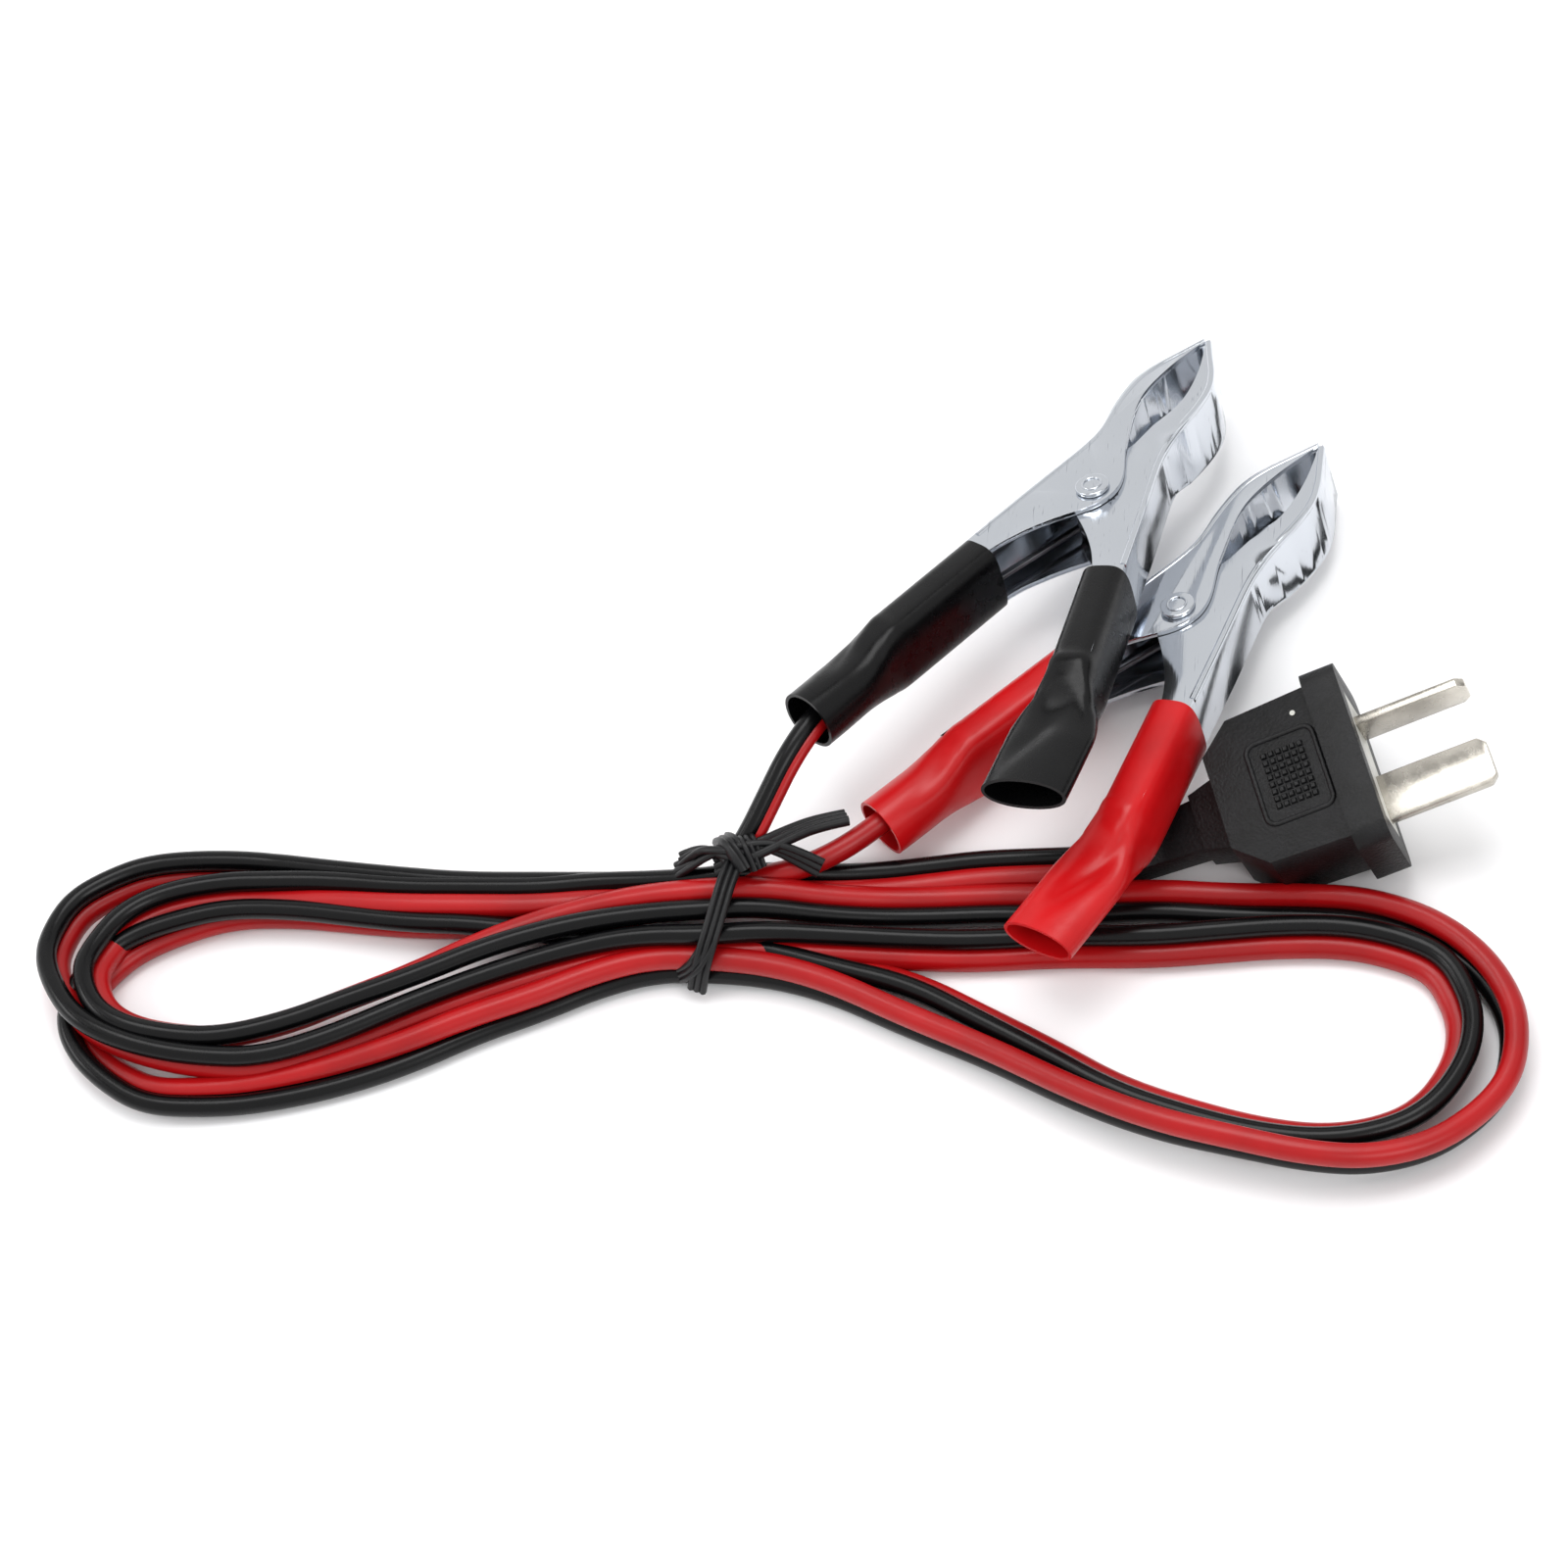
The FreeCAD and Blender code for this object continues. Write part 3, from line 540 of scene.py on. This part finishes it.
def buildClip(colour):
    sheet = {"bevel": 0.0003, "angle": 35}
    for name, node in (("OuterJaw", "_outer_jaw"), ("InnerJaw", "_inner_jaw")):
        refined(colour + name, colour + node, "plated", sheet["bevel"], sheet["angle"])
    refined(colour + "Rivet", colour + "_rivet", "plated", 0.00018)
    refined(colour + "Spring", colour + "_spring", "spring", 0, 50)
    refined(colour + "SpringLeg", colour + "_spring_leg", "spring", 0, 50)
    refined(colour + "Conductor", colour + "_conductor", "copper", 0, 50)
    for side in ("left", "right"):
        buildSleeve(colour, side)
    buildBends(colour)
    bpy.ops.mesh.primitive_cylinder_add(radius=rivetTop["capRadius"], depth=rivetTop["capDepth"],
                                        vertices=64, location=(0, 0, 0))
    cap = bpy.context.object
    cap.name = colour + "RivetCap"
    rounding = cap.modifiers.new("edge", "BEVEL")
    rounding.width = rivetTop["edge"]
    rounding.segments = 3
    applyAll(cap)
    cap.data.transform(placement(clipPlaces[colour]) @ Matrix.Translation((0, 0, rivetTop["capHeight"])))
    wear(cap, "plated")
    bpy.ops.object.shade_smooth_by_angle(angle=math.radians(40))
    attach(cap, "root")
    bpy.ops.mesh.primitive_torus_add(major_radius=rivetTop["ringRadius"], minor_radius=rivetTop["ringWire"],
                                     major_segments=48, minor_segments=10, location=(0, 0, 0))
    ring = bpy.context.object
    ring.name = colour + "RivetRing"
    ring.data.transform(placement(clipPlaces[colour]) @ Matrix.Translation((0, 0, rivetTop["ringHeight"])))
    wear(ring, "plated")
    bpy.ops.object.shade_smooth()
    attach(ring, "root")


for colour in ("black", "red"):
    buildClip(colour)
print("clips")


def buildPlug():
    body = refined("plugBody", "plug_body", "plugRubber", 0.0009, 30)
    refined("bladeHolder", "blade_holder", "holder", 0)
    refined("narrowBlade", "narrow_blade", "blade", 0.0002)
    refined("wideBlade", "wide_blade", "blade", 0.0002)
    return body


def buildGrip():
    where = placement(plugPlace)
    top = 7.0
    panel = {"middle": (-11.6, 0.0), "half": (5.4, 7.0), "corner": 1.6,
             "rimWide": 0.42, "rimTall": 0.34, "rows": 6, "columns": 8}
    rim = []
    for cx, cy, first in ((1, 1, 0), (-1, 1, 90), (-1, -1, 180), (1, -1, 270)):
        for i in range(7):
            turn = math.radians(first + 15 * i)
            x = panel["middle"][0] + cx * (panel["half"][0] - panel["corner"])
            y = panel["middle"][1] + cy * (panel["half"][1] - panel["corner"])
            x += panel["corner"] * math.cos(turn)
            y += panel["corner"] * math.sin(turn)
            rim.append(Vector((x, y, top)))
    points = []
    faces = []
    around = 10
    middle = Vector((*panel["middle"], top))
    for i, corner in enumerate(rim):
        out = (rim[(i + 1) % len(rim)] - rim[i - 1]).cross(Vector((0, 0, 1))).normalized()
        for j in range(around):
            turn = 2 * math.pi * j / around
            lift = Vector((0, 0, panel["rimTall"] * math.sin(turn)))
            points.append(where @ (corner + out * panel["rimWide"] * math.cos(turn) + lift))
    for i in range(len(rim)):
        for j in range(around):
            a, b = i * around, ((i + 1) % len(rim)) * around
            k = (j + 1) % around
            faces.append((a + j, b + j, b + k, a + k))
    for row in range(panel["rows"]):
        for column in range(panel["columns"]):
            x = middle.x - 3.5 + 7.0 * (row + 0.5) / panel["rows"]
            y = middle.y - 5.0 + 10.0 * (column + 0.5) / panel["columns"]
            first = len(points)
            for z, half in ((top - 0.3, 0.46), (top + 0.16, 0.44), (top + 0.36, 0.28)):
                for sx, sy in ((-1, -1), (1, -1), (1, 1), (-1, 1)):
                    points.append(where @ Vector((x + sx * half, y + sy * half, z)))
            for layer in (0, 4):
                for j in range(4):
                    k = (j + 1) % 4
                    faces.append((first + layer + j, first + layer + k, first + layer + 4 + k,
                                  first + layer + 4 + j))
            faces.append((first + 3, first + 2, first + 1, first))
            faces.append((first + 8, first + 9, first + 10, first + 11))
    grip = meshPiece("gripPanel", points, faces)
    smoothed(grip, 50)
    wear(grip, "plugRubber")
    bpy.ops.mesh.primitive_cylinder_add(radius=0.42, depth=0.5, vertices=24)
    pin = bpy.context.object
    pin.name = "pinHole"
    pin.data.transform(where @ Matrix.Translation((-8.2, 9.6, top - 0.1)))
    wear(pin, "pin")
    for piece in (grip, pin):
        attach(piece, "root")
    return [grip, pin]


plugBody = buildPlug()
plugExtras = buildGrip()
print("plug")


# A ribbed flat tie along a line, given in the tie's millimetres.
def ribbon(name, points, width, thickness, spin=0.0):
    line = evaluated([place(p) for p in points])
    outline = []
    ribs = 3
    cuts = 18
    for i in range(cuts + 1):
        a = i / cuts
        wave = 0.5 + 0.5 * abs(math.sin(math.pi * ribs * a))
        outline.append(((a - 0.5) * width, thickness / 2 * wave))
    outline += [(a, -b) for a, b in reversed(outline)]
    made = []
    for i, middle in enumerate(line):
        ahead = (line[min(i + 1, len(line) - 1)] - line[max(i - 1, 0)]).normalized()
        side = ahead.cross(Vector((0, 0, 1)))
        side = side.normalized() if side.length > 0.2 else Vector((1, 0, 0))
        over = side.cross(ahead)
        turn = spin * i / len(line)
        across = side * math.cos(turn) + over * math.sin(turn)
        up = across.cross(ahead)
        made += [middle + (across * a + up * b) * mm for a, b in outline]
    count = len(outline)
    faces = [tuple(range(count))[::-1], tuple(range(len(made) - count, len(made)))]
    for i in range(len(line) - 1):
        for j in range(count):
            k = (j + 1) % count
            faces.append((i * count + j, i * count + k, (i + 1) * count + k, (i + 1) * count + j))
    piece = meshPiece(name, made, faces)
    smoothed(piece, 60)
    wear(piece, "tie")
    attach(piece, "root")
    return piece


tieRuns = {
    "tieBand": ([
        (-2.6, -19.4, 2), (-2.8, -19.0, 8), (-3.3, -20.6, 12.0), (-4.6, -26, 12.9),
        (-5.8, -31.5, 11.6), (-7.2, -35.8, 9.4), (-8.6, -38.6, 6.4), (-9.6, -39.6, 2)], 3.0, 1.3, 0.5),
    "tieHook": ([
        (-6.6, -34.6, 9.6), (-8.4, -37.6, 7.8), (-10.4, -38.6, 5.6), (-12.2, -37.8, 3.4)], 2.6, 1.1, 0.9),
    "tieFold": ([
        (-14.0, -21.4, 7.4), (-11.6, -21.2, 9.4), (-8, -20.6, 11.6), (-3, -20.2, 13),
        (1.5, -19.6, 12.2), (5.5, -20.6, 10.8), (9.2, -22.0, 9.4)], 3.4, 1.2, 2.2),
    "tieEnd": ([
        (-7, -22.6, 10.6), (-3.5, -21.8, 12.4), (0.5, -20.2, 12.8), (4, -17.6, 12.2),
        (8.2, -14.8, 11.2), (12.6, -13.2, 10.4)], 3.7, 1.7, 0.5),
    "tieTwist": ([
        (-13.2, -19.8, 8.2), (-10, -19.6, 11.0), (-6.6, -21.4, 12.8), (-3.4, -22.8, 13.0),
        (-0.6, -22.0, 12.2)], 3.0, 1.4, 3.0),
    "tieKnot": ([
        (-6.8, -17.0, 9.4), (-5.4, -19.0, 13.0), (-3.6, -21.6, 14.2), (-2.0, -23.8, 12.0)], 3.2, 2.0, 0.8),
    "tieWrap": ([
        (-3.4, -16.8, 9.4), (-2.4, -18.6, 13.0), (-1.2, -21.2, 13.8), (-0.2, -23.4, 11.4)], 2.8, 1.8, 0.6),
}
tiePieces = [ribbon(name, *run) for name, run in tieRuns.items()]
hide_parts("twist_tie")
print("tie")


def buildFloor():
    side = 3.0
    floor = meshPiece("floor", [(-side, -side, 0), (side, -side, 0), (side, side, 0), (-side, side, 0)],
                      [(0, 1, 2, 3)])
    floor.data.materials.append(baseMaterial("white floor", "f4f4f5", 0.0, 0.6)[0])


def areaLight(name, at, size, power, shade="ffffff"):
    data = bpy.data.lights.new(name, "AREA")
    data.shape = "SQUARE"
    data.size = size
    data.energy = power
    data.color = linear(shade)[:3]
    lamp = bpy.data.objects.new(name, data)
    bpy.context.collection.objects.link(lamp)
    lamp.location = at
    lamp.rotation_euler = (Vector((0, 0, 0)) - Vector(at)).to_track_quat("-Z", "Y").to_euler()


def darkCard(name, at, size):
    card = meshPiece(name, [(-size[0], -size[1], 0), (size[0], -size[1], 0), (size[0], size[1], 0),
                            (-size[0], size[1], 0)], [(0, 1, 2, 3)])
    card.location = at
    card.rotation_euler = (Vector((0.02, 0.02, 0.01)) - Vector(at)).to_track_quat("Z", "Y").to_euler()
    card.visible_camera = False
    card.visible_shadow = False
    shade = baseMaterial(name, "08080a", 0.0, 1.0)[0]
    card.data.materials.append(shade)


# Each strip's near and far edge beside the clip, and its start and end along it, in millimetres.
strips = ((11.0, 13.5, -12, 40), (18, 21, -24, 22), (9.0, 12.5, 34, 46))


# Dark strips beside each clip that only the bright metal reflects.
def floorStrips():
    for colour, (at, lean) in clipPlaces.items():
        along = Vector((math.cos(math.radians(lean[0])), math.sin(math.radians(lean[0])), 0))
        right = Vector((along.y, -along.x, 0))
        for i, (near, far, start, end) in enumerate(strips):
            base = place(at)
            base.z = 0.0012
            corners = [base + (along * a + right * b) * mm for a, b in
                       ((start, near), (end, near), (end, far), (start, far))]
            strip = meshPiece(f"{colour}Strip{i}", corners, [(0, 3, 2, 1)])
            strip.visible_camera = False
            strip.visible_diffuse = False
            strip.visible_shadow = False
            strip.visible_transmission = False
            strip.data.materials.append(baseMaterial(strip.name, "0a0b0e", 0.0, 1.0)[0])


# Where each card stands in metres, with its half sides, and each lamp, with its size and power.
cards = {
    "rightCard": ((0.5, 0.12, 0.16), (0.2, 0.06)),
    "frontCard": ((0.3, -0.36, 0.2), (0.12, 0.05)),
    "highCard": ((-0.12, 0.35, 0.62), (0.3, 0.09)),
    "leftCard": ((-0.45, -0.1, 0.3), (0.2, 0.05)),
}
lamps = {
    "overhead": ((-0.1, 0.3, 1.0), 0.7, 6.5),
    "side": ((-0.9, -0.1, 0.6), 0.5, 4.0),
    "front": ((0.6, -0.7, 0.8), 0.5, 3.0),
}


def lightScene():
    floorStrips()
    for name, values in cards.items():
        darkCard(name, *values)
    for name, values in lamps.items():
        areaLight(name, *values)
    world = bpy.data.worlds.new("world")
    world.use_nodes = True
    world.node_tree.nodes["Background"].inputs["Color"].default_value = linear("ffffff")
    world.node_tree.nodes["Background"].inputs["Strength"].default_value = 0.88
    bpy.context.scene.world = world
    bpy.context.scene.view_settings.view_transform = "Standard"


buildFloor()
lightScene()
print("stage")
